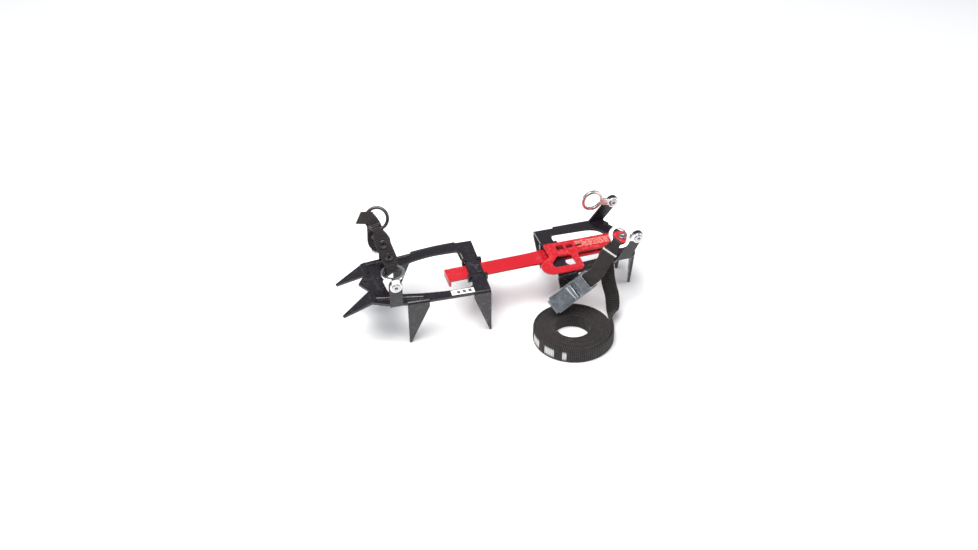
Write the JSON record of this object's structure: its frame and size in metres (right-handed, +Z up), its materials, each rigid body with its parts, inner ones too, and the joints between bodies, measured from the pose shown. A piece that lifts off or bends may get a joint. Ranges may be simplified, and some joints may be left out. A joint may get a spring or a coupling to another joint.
{
  "type": "strap-on crampon",
  "caption": "Strap-on mountaineering crampon: spiked front and heel frames on a flat link bar with a finger latch, ring links, toe harness, cam buckle and rolled ankle strap.",
  "frame": {"origin": "middle of the base, on the ground under the spikes, measured without the free long strap", "axes": "+X from the toe points to the heel along the link bar, -Y the buckle side, +Z up, away from the ground"},
  "size_m": [0.3152, 0.1641, 0.1399],
  "materials": {
    "black_paint": "smooth semi-gloss black enamel",
    "red_paint": "glossy signal-red enamel",
    "chrome": "bright polished plating",
    "steel": "satin grey steel",
    "webbing": "matte ribbed black nylon webbing",
    "label": "printed white sticker"
  },
  "bodies": {
    "heel": {"heel_frame": "black_paint", "heel_bar_guide": "black_paint", "heel_rivet_near": "steel", "heel_rivet_far": "steel", "long_strap_run": "webbing", "long_strap_coil": "webbing"},
    "link_bar": {"link_bar": "red_paint"},
    "front": {"front_frame": "black_paint", "front_bar_guide": "black_paint", "frame_label": "label", "toe_rivet_near": "steel", "toe_rivet_far": "steel"},
    "toe_harness": {"toe_link_near": "chrome", "toe_link_far": "chrome", "toe_ring": "steel", "toe_strap_near": "webbing", "toe_strap_far": "webbing", "toe_strap_rivet_low": "steel", "toe_strap_rivet_high": "steel", "toe_strap_rivet_far": "steel"},
    "latch": {"latch_plate": "red_paint", "latch_peg": "steel", "latch_rivet": "steel"},
    "heel_link_near": {"heel_link_near": "chrome", "buckle_strap": "webbing"},
    "buckle": {"buckle_frame": "steel", "buckle_pin": "steel"},
    "buckle_lever": {"buckle_lever": "steel"},
    "heel_link_far": {"heel_link_far": "chrome"}
  },
  "joints": [
    {"name": "length_slide", "type": "slide", "parent": "heel", "child": "link_bar", "axis": [1, 0, 0], "range_m": [-0.04, 0]},
    {"name": "front_slide", "type": "slide", "parent": "link_bar", "child": "front", "axis": [1, 0, 0], "range_m": [-0.016, 0.04]},
    {"name": "toe_harness_swing", "type": "hinge", "parent": "front", "child": "toe_harness", "pos_m": [-0.10269, 0.01337, 0.0755], "axis": [0.0884, 0.9961, 0], "range_deg": [-30, 30]},
    {"name": "latch_lift", "type": "hinge", "parent": "heel", "child": "latch", "pos_m": [0.15535, 0.0074, 0.05235], "axis": [0, 1, 0], "range_deg": [-0.9, 6], "stiffness_Nm_per_rad": 1.5, "springref_deg": 0.8},
    {"name": "heel_link_near_swing", "type": "hinge", "parent": "heel", "child": "heel_link_near", "pos_m": [0.14935, -0.0252, 0.076], "axis": [0, 1, 0], "range_deg": [0, 25], "deforming": ["long_strap_run"]},
    {"name": "buckle_swing", "type": "hinge", "parent": "heel_link_near", "child": "buckle", "pos_m": [0.08842, -0.04593, 0.052], "axis": [-0.4536, 0.6166, 0.6434], "range_deg": [0, 60]},
    {"name": "buckle_lever_open", "type": "hinge", "parent": "buckle", "child": "buckle_lever", "pos_m": [0.07102, -0.04641, 0.04019], "axis": [-0.4536, 0.6166, 0.6434], "range_deg": [0, 75]},
    {"name": "heel_link_far_swing", "type": "hinge", "parent": "heel", "child": "heel_link_far", "pos_m": [0.14935, 0.0427, 0.0745], "axis": [0, 1, 0], "range_deg": [-40, 190]}
  ]
}
